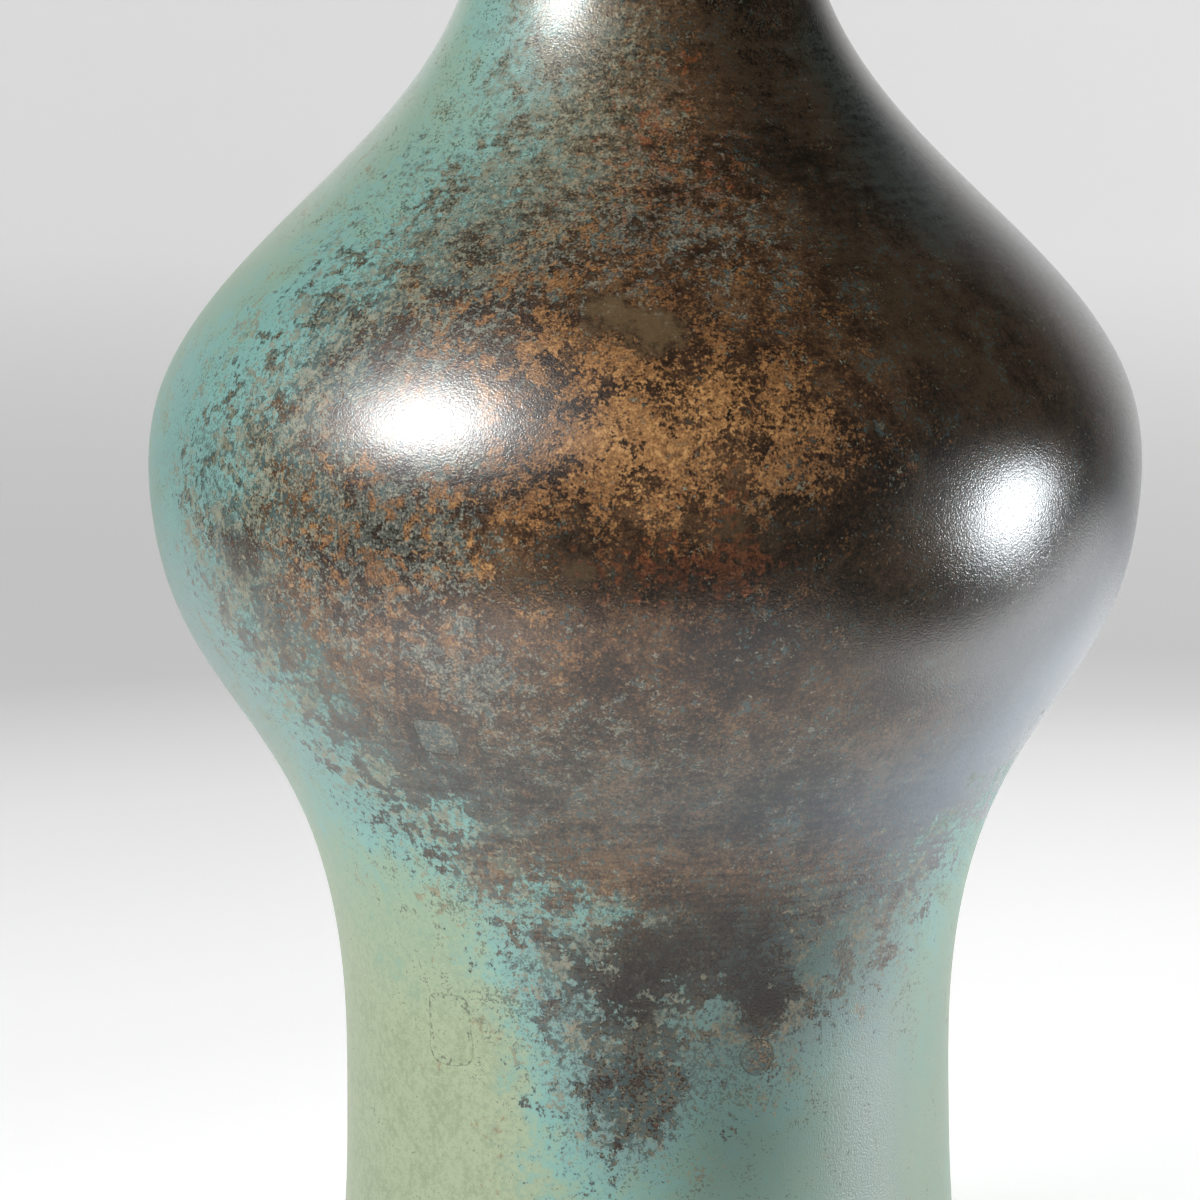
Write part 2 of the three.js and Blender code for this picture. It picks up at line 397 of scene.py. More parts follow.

# %% [markdown]
# The dark room.
# Everything in front of the vase is dark, because the room behind the camera is, and that keeps the
# brown deep. Only the table round the foot and the wall behind the vase are pale, and they show
# as a grey veil under the belly and as thin pale lines at its sides. A sheet of black cloth
# that nothing but reflections can see makes the room here: it lies on the table beyond a soft oval and
# stands up all round, and thins out towards the back. On the right its edge is a curve instead, and past
# it the cloth glows with painted light, a strip that stands for the table lit by the low lamp: that is the
# pale stripe below the low highlight.

# %% Hang the black cloth
CLOTH_START = 0.15
CLOTH_REACH = 2.05
CLOTH_LIFT = MM
cloth_profile = [(CLOTH_START, CLOTH_LIFT), (CLOTH_REACH, CLOTH_LIFT), (CLOTH_REACH, BOWL_TOP)]
cloth = revolve("black_cloth", cloth_profile, BOWL_SEGMENTS)
cloth.visible_camera = False
cloth.visible_diffuse = False
cloth.visible_shadow = False
print("the cloth starts", CLOTH_START, "m from the vase")

# %% Find what the cloth covers
OVAL_CENTRE = (-0.05, 0.27)
OVAL_LEFT, OVAL_RIGHT, OVAL_DEEP = 0.60, 0.44, 0.56
OVAL_EDGE = 0.94
OVAL_SEAM = 0.01
SHARP_BLUR, SOFT_BLUR = 0.12, 0.8
BACK_START, BACK_END = 0.54, 0.94
LOW_WALL, HIGH_WALL, WALL_DIM = 0.5, 1.1, 0.14
CURVE_START = (0.25, -0.035)
CURVE_SLOPE, CURVE_BEND, CURVE_BLUR = 0.62, 1.35, 0.07
CURVE_SIDE, CURVE_BACK = (0.2, 0.3), (0.5, 0.9)

material, start, place = new_material("black_cloth")
rightward, backward, upward = (along_axis(place, axis) for axis in "XYZ")
past_centre = rightward - OVAL_CENTRE[0]
on_right = fade(past_centre, -OVAL_SEAM, OVAL_SEAM)
across = past_centre * (1 / OVAL_LEFT + on_right * (1 / OVAL_RIGHT - 1 / OVAL_LEFT))
along = (backward - OVAL_CENTRE[1]) * (1 / OVAL_DEEP)
blur = SHARP_BLUR + fade(past_centre, 0.0, OVAL_RIGHT) * SOFT_BLUR
past_oval = fade((across * across + along * along - OVAL_EDGE) / blur, 0.0, 1.0)
past_start = rightward - CURVE_START[0]
past_curve = backward - CURVE_START[1] - past_start * CURVE_SLOPE - past_start * past_start * CURVE_BEND
before_curve = 1 - fade(past_curve, -CURVE_BLUR, 0.0)
curved = fade(past_centre, *CURVE_SIDE) * (1 - fade(backward, *CURVE_BACK))
covered = past_oval * (1 - curved) + before_curve * curved
behind = backward / length(stretch(place, (1, 1, 0))) - fade(upward, LOW_WALL, HIGH_WALL) * WALL_DIM
covered = covered * (1 - fade(behind, BACK_START, BACK_END))

# %% Paint the light on the strip past its edge
STRIP_SKEW = 0.1
STRIP_SIDE, STRIP_BACK, STRIP_TOP = (0.12, 0.19), (0.28, 0.55), (0.01, 0.02)
STRIP_BEFORE, STRIP_WIDTH = 0.1, 0.5
STRIP_SHADES = [(0.08, 0.9), (0.22, 3.0), (0.34, 2.7), (0.50, 1.5), (0.76, 1.2), (1.0, 1.15)]

# Painted light: past the curve the cloth glows, brightest just beyond its edge.
in_strip = fade(rightward - backward * STRIP_SKEW, *STRIP_SIDE) * (1 - fade(backward, *STRIP_BACK))
in_strip = in_strip * (1 - fade(upward, *STRIP_TOP))
painted_light_strip = shades((past_curve + STRIP_BEFORE) * (1 / STRIP_WIDTH), STRIP_SHADES)
lit = start.node("ShaderNodeBsdfPrincipled", None, {"Base Color": grey(0), "Specular IOR Level": 0,
                                                    "Emission Color": painted_light_strip, "Emission Strength": 1.0})
clear = start.node("ShaderNodeBsdfTransparent")
black = start.node("ShaderNodeBsdfDiffuse", None, {"Color": grey(0)})
open_part = start.node("ShaderNodeMixShader", None, {0: in_strip, 1: clear, 2: lit})
surface = start.node("ShaderNodeMixShader", None, {0: covered, 1: open_part, 2: black})
start.node("ShaderNodeOutputMaterial", None, {"Surface": surface})
cloth.data.materials.append(material)
print("the cloth has", len(material.node_tree.nodes), "nodes")

# %% [markdown]
# The wall of the vase.
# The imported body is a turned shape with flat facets. Its outline can be read back: every vertex that
# lies straight behind the axis is a point of the profile, and the mesh edges say in which order they
# come. A smooth curve through those points, turned with many more steps, gives the real wall with
# its true sizes, inside and out.

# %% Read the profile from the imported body
ON_PLANE = 0.01 * MM
MICRON_DIGITS = 6


def read_profile(node):
    """The closed profile of a turned node, as (radius, height) points in order, up the outside first."""
    mesh = node.data
    spots = {}
    for vertex in mesh.vertices:
        if abs(vertex.co.x) < ON_PLANE and vertex.co.y > 0:
            spots[vertex.index] = (round(vertex.co.y, MICRON_DIGITS), round(vertex.co.z, MICRON_DIGITS))
    neighbours = {}
    for edge in mesh.edges:
        first, second = (spots.get(index) for index in edge.vertices)
        if first and second and first != second:
            neighbours.setdefault(first, set()).add(second)
            neighbours.setdefault(second, set()).add(first)
    outermost = max(neighbours)
    path = [outermost]
    following = max(neighbours[outermost], key=lambda point: point[1])
    while following != outermost:
        path.append(following)
        following = next(point for point in neighbours[following] if point != path[-2])
    return np.array(path)


profile_points = read_profile(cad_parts["vase_body"])
print(len(profile_points), "points in the profile of the wall")

# %% Split the profile where a curve ends
CORNER = math.radians(35)
SPACING_CHANGE = 3


def is_joint(before, here, after):
    """Whether the profile turns sharply here, or goes from a long stretch into a tight one."""
    turn = np.arctan2(*(after - here)[::-1]) - np.arctan2(*(here - before)[::-1])
    sharp = abs((turn + math.pi) % (2 * math.pi) - math.pi) > CORNER
    change = np.hypot(*(here - before)) / np.hypot(*(after - here))
    return sharp or change > SPACING_CHANGE or change < 1 / SPACING_CHANGE


count = len(profile_points)
joints = [i for i in range(count)
          if is_joint(profile_points[i - 1], profile_points[i], profile_points[(i + 1) % count])]
runs = [profile_points[[i % count for i in range(first, last + 1)]]
        for first, last in zip(joints, joints[1:] + [joints[0] + count])]
print("the profile has", len(runs), "smooth runs")

# %% Draw a smooth curve through each run
OUTSIDE_STEP = 1.7 * MM
INSIDE_STEP = 5 * MM
SHORT_STEPS = 4


def curve_through(points, step):
    """A natural cubic curve through the points, sampled about every step."""
    travel = np.concatenate([[0], np.cumsum(np.hypot(*np.diff(points, axis=0).T))])
    gap = np.diff(travel)
    rate = np.diff(points, axis=0) / gap[:, None]
    size = len(points)
    equations = np.eye(size)
    answers = np.zeros((size, 2))
    for i in range(1, size - 1):
        equations[i, i - 1:i + 2] = gap[i - 1], 2 * (gap[i - 1] + gap[i]), gap[i]
        answers[i] = 6 * (rate[i] - rate[i - 1])
    curl = np.linalg.solve(equations, answers)
    at = np.linspace(0, travel[-1], max(SHORT_STEPS, round(travel[-1] / step)) + 1)
    span = np.clip(np.searchsorted(travel, at, side="right") - 1, 0, size - 2)
    before = ((travel[span + 1] - at) / gap[span])[:, None]
    after = 1 - before
    bulge = (before ** 3 - before) * curl[span] + (after ** 3 - after) * curl[span + 1]
    return before * points[span] + after * points[span + 1] + bulge * gap[span, None] ** 2 / 6


curves = [curve_through(run, OUTSIDE_STEP if run[-1, 1] > run[0, 1] else INSIDE_STEP) for run in runs]
wall_profile = np.concatenate([curve[:-1] for curve in curves])
outside = max(curves, key=lambda curve: curve[-1, 1] - curve[0, 1])
inside = max(curves, key=lambda curve: curve[0, 1] - curve[-1, 1])
print(len(wall_profile), "rows in the wall, of which", len(outside), "on the outside")

# %% Turn the wall
WALL_SEGMENTS = 288
WAVE_DEPTH = 0.05 * MM
WAVE_RISE = 24 * MM
WAVES = [(3, 1), (7, -2.3), (11, 3.1)]


def corners_of(piece):
    """The vertices of a piece as an array."""
    flat_list = np.empty(len(piece.data.vertices) * 3)
    piece.data.vertices.foreach_get("co", flat_list)
    return flat_list.reshape(-1, 3)


def azimuth_of(corners):
    """The angle of each place round the vase, in degrees, from the front towards the right."""
    return np.degrees(np.arctan2(corners[:, 0], -corners[:, 1]))


def add_waves(corners):
    """File and abrasive leave slow waves, so many round the vase, which bend the highlights a little."""
    turn = np.radians(azimuth_of(corners))
    up = corners[:, 2] / WAVE_RISE
    wave = sum(np.sin(times * turn + climb * up) for times, climb in WAVES) / len(WAVES)
    corners[:, :2] *= (1 + WAVE_DEPTH * wave / np.hypot(corners[:, 0], corners[:, 1]))[:, None]
    return corners


wall = revolve("vase_wall", wall_profile, WALL_SEGMENTS, closed=True)
wall.data.vertices.foreach_set("co", add_waves(corners_of(wall)).ravel())
print("the wall has", len(wall.data.polygons), "faces")

# %% [markdown]
# The chaplets and the plug.
# Chaplets are small metal pads that hold the core in the mould. The casting closes round them and they
# stay in the wall, filed flush, with a hairline seam. The plug fills a drilled flaw in the same way.
# One worn outline per insert does both jobs here: grown by a hair and pushed through the wall it cuts
# the pocket, and laid on the wall's inner and outer curves it makes the insert itself, filed flush.

# %% Draw the outline of each insert
OUTLINE_POINTS = 48
UNEVENNESS = 0.02
LOBES = range(2, 7)
ANY_PHASE = 6
ROUND, SQUARISH = 2, 5
INSERT_NODES = sorted(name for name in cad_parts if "chaplet" in name or "plug" in name)
chance = np.random.default_rng(7)


def insert_outline(node):
    """Where an insert sits, and its worn outline: sideways and upward distances from its middle."""
    corners = corners_of(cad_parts[node])
    outward = corners.mean(axis=0) * (1, 1, 0)
    outward /= np.linalg.norm(outward)
    side = np.array([-outward[1], outward[0], 0])
    sideways, upward = corners @ side, corners[:, 2]
    centre = side * (sideways.max() + sideways.min()) / 2
    centre[2] = (upward.max() + upward.min()) / 2
    angle = np.linspace(0, 2 * math.pi, OUTLINE_POINTS, endpoint=False)
    lobes = sum(chance.uniform(-1, 1) * np.cos(k * angle + chance.uniform(0, ANY_PHASE)) for k in LOBES)
    power = ROUND if "plug" in node else SQUARISH
    reach = (np.abs(np.cos(angle)) ** power + np.abs(np.sin(angle)) ** power) ** (-1 / power)
    reach = reach * (1 + UNEVENNESS * lobes)
    half = np.array([np.ptp(sideways), np.ptp(upward)]) / 2
    return centre, outward, side, reach[:, None] * half * np.stack([np.cos(angle), np.sin(angle)], axis=1)


outlines = {node: insert_outline(node) for node in INSERT_NODES}
print("inserts:", ", ".join(INSERT_NODES))

# %% Cut the pockets
POCKET_ROOM = 0.05 * MM
CUT_FROM, CUT_TO = 0.3 * belly_radius, 1.2 * belly_radius
UP = np.array([0, 0, 1])
SHARP_EDGE = math.radians(40)
NEIGHBOURS = [(i, (i + 1) % OUTLINE_POINTS) for i in range(OUTLINE_POINTS)]


def mesh_piece(name, corners, faces):
    """A new piece from its corners and faces."""
    mesh = bpy.data.meshes.new(name)
    mesh.from_pydata(np.asarray(corners).tolist(), [], faces)
    mesh.shade_smooth()
    made = bpy.data.objects.new(name, mesh)
    scene.collection.objects.link(made)
    return made


cutter_corners, cutter_faces = [], []
for centre, outward, side, outline in outlines.values():
    grown = outline * (1 + POCKET_ROOM / np.hypot(*outline.T)[:, None])
    ring = centre + grown[:, :1] * side + grown[:, 1:] * UP
    near = len(cutter_corners)
    far = near + OUTLINE_POINTS
    cutter_corners += [*(ring + outward * CUT_FROM), *(ring + outward * CUT_TO)]
    cutter_faces += [(near + i, near + j, far + j, far + i) for i, j in NEIGHBOURS]
    cutter_faces += [tuple(reversed(range(near, far))), tuple(range(far, far + OUTLINE_POINTS))]
cutter = mesh_piece("pocket_cutter", cutter_corners, cutter_faces)
pockets = wall.modifiers.new("pockets", "BOOLEAN")
pockets.object = cutter
pockets.solver = "MANIFOLD"
wall.data = bpy.data.meshes.new_from_object(wall.evaluated_get(bpy.context.evaluated_depsgraph_get()))
wall.modifiers.clear()
wall.data.materials.clear()
bpy.data.objects.remove(cutter)
wall.data.shade_smooth()
wall.data.set_sharp_from_angle(angle=SHARP_EDGE)
print("with its pockets the wall has", len(wall.data.polygons), "faces")

# %% Lay the inserts in the wall
FACE_RINGS = 8
SHARES = np.linspace(1 / FACE_RINGS, 1, FACE_RINGS)
OUTER_SKIN = (outside[:, 1], outside[:, 0])
INNER_SKIN = (inside[::-1, 1], inside[::-1, 0])


def flush_face(shape, skin):
    """Rings of points from the middle of an insert to its outline, lying on one curve of the wall."""
    centre, outward, side, outline = shape
    rings = []
    for share in SHARES:
        across = share * outline + (centre @ side, centre[2])
        reach = np.interp(across[:, 1], *skin)
        forward = np.sqrt(reach ** 2 - across[:, 0] ** 2)
        rings.append(across[:, :1] * side + across[:, 1:] * UP + forward[:, None] * outward)
    return np.concatenate(rings)


def lay_insert(name, shape):
    """An insert between the outer and the inner curve of the wall."""
    points = np.concatenate([flush_face(shape, OUTER_SKIN), flush_face(shape, INNER_SKIN)])
    back = FACE_RINGS * OUTLINE_POINTS
    edge = back - OUTLINE_POINTS
    faces = []
    for inner in range(0, edge, OUTLINE_POINTS):
        outer = inner + OUTLINE_POINTS
        for i, j in NEIGHBOURS:
            faces += [(inner + i, outer + i, outer + j, inner + j),
                      (back + inner + i, back + inner + j, back + outer + j, back + outer + i)]
    faces += [(edge + i, back + edge + i, back + edge + j, edge + j) for i, j in NEIGHBOURS]
    faces += [tuple(range(OUTLINE_POINTS)), tuple(reversed(range(back, back + OUTLINE_POINTS)))]
    piece = mesh_piece(name, add_waves(points), faces)
    piece.data.set_sharp_from_angle(angle=SHARP_EDGE)
    to_rim = np.tile(np.repeat(SHARES, OUTLINE_POINTS), 2).astype(np.float32)
    piece.data.attributes.new("rim", "FLOAT", "POINT").data.foreach_set("value", to_rim)
    return piece


inserts = {node: lay_insert(node + "_fitted", outlines[node]) for node in INSERT_NODES}
for node, piece in inserts.items():
    print(node, len(piece.data.polygons), "faces")

# %% [markdown]
# The plate in the foot and its solder.
# The foot is an open ring with a step in it. A turned disc sits against the step and a run of soft
# solder seals it. Underneath, the lathe has left fine rings round a centre mark, and the solder has
# flowed unevenly. Both are turned shapes with a little of their making added.

# %% Turn the base plate
PLATE_SEGMENTS = 120
RING_SPACING = 0.9 * MM
RING_DEPTH = 0.04 * MM
RING_STEPS = 4
CENTRE_MARK = 1.5 * MM
PLATE_CHAMFER = 0.6 * MM
plate_low, plate_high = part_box("base_plate")
flat_end = plate_high.x - PLATE_CHAMFER
under = [(r, plate_low.z + RING_DEPTH * (0.5 - 0.5 * math.cos(2 * math.pi * r / RING_SPACING)))
         for r in np.arange(CENTRE_MARK, flat_end, RING_SPACING / RING_STEPS)]
edge = [(flat_end, plate_low.z), (plate_high.x, plate_low.z + PLATE_CHAMFER),
        (plate_high.x, plate_high.z - PLATE_CHAMFER), (flat_end, plate_high.z)]
centre_mark = (0, plate_low.z + CENTRE_MARK / 2)
plate = revolve("turned_base_plate", [centre_mark, *under, *edge, (0, plate_high.z)], PLATE_SEGMENTS)
plate.data.set_sharp_from_angle(angle=SHARP_EDGE)
print("the plate has", len(plate.data.polygons), "faces")

# %% Run the solder
SOLDER_SEGMENTS = 240
SOLDER_STEPS = 10
SOLDER_LUMPS = 0.12
LUMP_COUNTS = (3, 8, 13, 21)
solder_low, solder_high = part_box("base_solder_ring")
solder_leg = solder_high.z - solder_low.z
hollow = [(solder_high.x - solder_leg * (1 - math.sin(t)), solder_high.z - solder_leg * (1 - math.cos(t)))
          for t in np.linspace(0, math.pi / 2, SOLDER_STEPS)]
solder = revolve("run_of_solder", [*hollow, (solder_high.x, solder_high.z)], SOLDER_SEGMENTS, closed=True)
corners = corners_of(solder)
turn = np.radians(azimuth_of(corners))
lumps = sum(np.cos(k * turn + chance.uniform(0, ANY_PHASE)) for k in LUMP_COUNTS) / len(LUMP_COUNTS)
fill = 1 - SOLDER_LUMPS * (1 + lumps)
radius = np.hypot(corners[:, 0], corners[:, 1])
corners[:, :2] *= ((solder_high.x - (solder_high.x - radius) * fill) / radius)[:, None]
corners[:, 2] = solder_high.z - (solder_high.z - corners[:, 2]) * fill
solder.data.vertices.foreach_set("co", corners.ravel())
print("the solder has", len(solder.data.polygons), "faces")

# %% [markdown]
# Where the patina lies.
# The maker brushed the green on from the left and let it run round the waist, and heated the right
# side until it went nearly black. The border between the two is the drawing that makes this vase.
# It is laid out here as one closed outline of the brown, in degrees round the vase and millimetres
# up it, and soft dabs add what the outline is too coarse for. Each zone becomes a number on every
# vertex, which the shader then breaks up with noise.

# %% Outline the brown
BROWN_OUTLINE = [
    (-30, 330), (-31, 240), (-34, 218), (-32, 203), (-37, 195), (-41, 185), (-46, 172), (-53, 160),
    (-54, 148), (-54.5, 138), (-53.5, 130), (-51, 122), (-48, 115), (-45, 108), (-40, 101), (-26, 91),
    (-18, 80), (-13, 69), (-9, 60), (-6, 54), (-3, 48), (2, 48), (5, 53), (9, 59), (22, 63), (31, 72),
    (45, 79), (56, 90), (69, 97), (92, 103), (122, 112), (142, 132), (146, 152), (136, 178), (122, 205),
    (116, 240), (110, 330)]
MEAN_RADIUS = 60


def wrapped(turn):
    """An angle between two places round the vase, in degrees: never more than half a turn."""
    return (turn + 180) % 360 - 180


def depth_inside(azimuth, height, outline):
    """How far inside an outline each place lies, in millimetres: negative outside it."""
    arc = math.radians(MEAN_RADIUS)
    nearest = np.full(len(azimuth), np.inf)
    within = np.zeros(len(azimuth), bool)
    for (turn, level), (next_turn, next_level) in zip(outline, outline[1:] + outline[:1]):
        run, rise = (next_turn - turn) * arc, next_level - level
        side, up = wrapped(azimuth - turn) * arc, height - level
        along = np.clip((side * run + up * rise) / (run * run + rise * rise), 0, 1)
        nearest = np.minimum(nearest, np.hypot(side - along * run, up - along * rise))
        if rise:
            crossing = (level > height) != (next_level > height)
            within ^= crossing & ((azimuth - turn) * arc < up / rise * run)
    return np.where(within, nearest, -nearest)


print(len(BROWN_OUTLINE), "points in the outline of the brown")

# %% Place the dabs
# Each dab is (azimuth in degrees, height, half width, half height, strength), in millimetres.
GREEN_DABS = [
    (-29, 97, 4, 5, 14), (-27, 90, 6, 6, -14), (-5, 82, 9, 4, 10), (33, 73, 8, 6, 7), (23, 66, 7, 6, -12),
    (-52, 140, 6, 6, -9), (-53, 151, 8, 8, 5), (9, 46, 7, 8, 7), (-1, 51, 6, 6, -8), (11, 65, 5, 4, 12),
    (-16, 206, 16, 14, 9), (9, 100, 22, 9, 5), (-165, 172, 40, 18, -44), (-150, 140, 16, 26, -38),
    (175, 118, 22, 16, -34), (-120, 70, 26, 10, -34), (-100, 108, 14, 10, -24), (165, 62, 24, 8, -30),
    (150, 30, 20, 9, -28), (-140, 24, 26, 8, -26), (-112, 222, 9, 20, -36), (-160, 250, 14, 16, -34),
    (-75, 270, 10, 10, -22), (130, 262, 12, 16, -24)]
ZONE_DABS = {
    "ochre": [
        (-4, 160, 10, 8, 0.42), (8, 168, 10, 7, 0.40), (17, 161, 10, 10, 0.3), (-6, 173, 16, 9, 0.3),
        (3, 156, 32, 20, 0.43), (-34, 139, 20, 7, 0.30), (-9, 207, 18, 14, 0.25), (-11, 183, 28, 9, 0.15),
        (-29, 122, 14, 9, 0.15), (0, 121, 26, 11, 0.15), (0, 80, 10, 12, 0.12), (-24, 88, 6, 6, 0.4),
        (-18, 199, 16, 8, 0.15), (105, 150, 34, 22, 0.3), (135, 190, 18, 14, 0.3)],
    "slate": [
        (-38, 150, 22, 16, 0.6), (-33, 147, 12, 8, 0.3), (-22, 146, 14, 12, 0.5), (-30, 128, 26, 14, 0.4),
        (-20, 165, 14, 10, 0.35), (-45, 172, 10, 10, 0.4), (-8, 112, 24, 12, 0.4), (-15, 190, 30, 14, 0.4),
        # The last dab of this zone is a painted highlight: a small pale spot well below the belly's
        # highlight.
        (10, 192, 24, 12, 0.3), (-25, 178, 20, 12, 0.4), (-5, 208, 20, 14, 0.3), (-21, 124, 6, 5, 0.9)],
    "rust": [
        (-1, 208, 3, 3, 0.2), (8, 215, 3, 3, 0.2), (14, 219, 3, 3, 0.2), (12, 202, 13, 9, 0.1),
        (10, 148, 4, 9, 0.3), (3, 141, 20, 6, 0.45), (6, 150, 26, 20, 0.26), (0, 203, 30, 22, 0.36),
        (-45, 172, 6, 5, 0.3), (-53, 140, 4, 4, 0.4), (2, 45, 5, 7, 0.3), (-22, 86, 6, 6, 0.3)],
    "soot": [
        (52, 160, 32, 40, 1.0), (60, 190, 30, 36, 1.0), (40, 128, 32, 16, 0.5), (52, 216, 20, 22, 0.9),
        (100, 165, 40, 46, 0.8), (-21, 201, 3, 3, 0.4), (-10, 219, 3, 3, 0.3), (4, 74, 1.4, 6, 0.9),
        (-8, 146, 3.4, 3.4, 0.5), (-3, 69, 11, 10, 1.2), (23, 66, 8, 6, 1.3), (30, 82, 14, 6, 0.4),
        (-12, 75, 5, 4, 0.5), (12, 75, 12, 8, 1.0), (8, 86, 14, 7, 0.3), (13, 148, 9, 9, 0.6),
        (4, 141, 14, 5, 0.45), (-12, 139, 14, 5, 0.4), (2, 147, 22, 6, 0.22), (-52, 140, 5, 6, 1.0),
        (-50, 134, 6, 5, 0.4), (30, 142, 20, 16, 0.6), (-4, 139, 26, 4, 0.25), (-1, 52, 5, 6, 0.4)],
    "char": [(-3, 69, 10, 9, 0.85), (22, 67, 9, 6, 0.9), (12, 76, 10, 6, 0.45), (6, 141, 18, 5, 0.5)],
    "dusk": [(60, 212, 9, 16, 0.9), (54, 194, 14, 10, 0.7), (6, 68, 18, 13, 0.12), (24, 80, 16, 8, 0.3)],
    "dimmed": [(33, 74, 13, 12, 1.1), (24, 44, 18, 12, 0.3), (-80, 158, 20, 22, 0.25)],
    "pitted": [
        (12, 49, 6, 6, 0.12), (-8, 58, 8, 8, 0.06), (22, 56, 8, 6, 0.05), (-20, 66, 10, 10, 0.08),
        (-30, 90, 12, 12, 0.07), (-56, 150, 10, 20, 0.08)],
    "calm": [
        (1, 177, 8, 5, 0.7), (-6, 181, 6, 4, 0.65), (-13, 163, 3, 3, 0.6), (-7, 141, 4, 3, 0.7),
        (10, 146, 4, 10, 0.5)],
    # A painted reflection: a bluish-grey veil on the lower right belly, where the pale table shows in the
    # wax.
    "haze": [
        (64, 114, 24, 20, 0.9), (95, 122, 34, 30, 0.8), (45, 98, 20, 11, 0.4), (12, 100, 24, 9, 0.1),
        (88, 150, 12, 40, 0.15)],
}
FULL_AT_ONE = ("slate", "soot", "dusk", "calm", "haze")


def sum_of_dabs(azimuth, height, radius, dabs):
    """What soft dabs add up to at each place on the wall."""
    total = np.zeros(len(azimuth))
    for where, level, wide, tall, strength in dabs:
        side = np.radians(wrapped(azimuth - where)) * radius
        total += strength * np.exp(-(side / wide) ** 2 - ((height - level) / tall) ** 2)
    return total


print(len(GREEN_DABS), "dabs of green, and dabs for", ", ".join(ZONE_DABS))

# %% Lay out the zones
# A slope is where a zone starts and where it is full, and a hump is its middle and its width: heights
# and depths are in millimetres and azimuths in degrees.
FULL_GREEN = 42
LOW_SLOPE, HIGH_SLOPE, STILL_SLOPE, RIPE_SLOPE = (100, 60), (178, 208), (144, 124), (200, 214)
WAX_BOTTOM, WAX_TOP = (80, 105), (222, 197)
BELLY_HUMP, WAIST_HUMP, ASH_HUMP = (150, 26), (112, 26), (103, 13)
RUBBED_HUMPS = [(88, 26), (200, 25)]
LEFT_SLOPE, LEFT_BACK = (0, -10), (-180, -120)
COARSE_SLOPE, COARSE_BACK = (-6, -20), (-175, -155)
GREY_SLOPE, GREY_SIDE = (15, 45), (46, 62)
RIM_AZIMUTH, RIM_HEIGHT, BORDER_HUMP = (-80, 32), (119, 25), (0, 9)
HAY_SLOPE, HAY_RISE, HAY_LEAN = (2, -22), (40, 100), 24
DIM_HUMP, DIM_LIMIT = (14, 16), 1.25
TURN_BACK, TURN_RATE = 60, 1.2
INSIDE_SLOPE = (0.8, 1.4)
LIP_SLOPE, FOOT_SLOPE = (296, 299), (2, 0)
NECK_SOFTNESS, NECK_SPREAD, NECK_EVENNESS = 0.45, 0.9, 0.6
WAIST_TIGHTNESS, RIPE_DELAY, RUBBED_STRENGTH, FOOT_DIMNESS = 0.2, 12, 0.6, 0.75
GREY_CLEARING_FOR_HIGHLIGHT, RIM_GREY, BORDER_GREY = 0.6, 0.9, 0.8
INSERT_SHIFTS = {"upper_chaplet": (3, 0.9), "lower_chaplet": (2, 0), "repair_plug": (-6, 0)}


def slope(values, start, full):
    """A straight slope from 0 at the start to 1 where it is full."""
    return np.clip((values - start) / (full - start), 0, 1)


def hump(values, middle, width):
    """1 in the middle, fading over this width to each side."""
    return np.exp(-((values - middle) / width) ** 2)


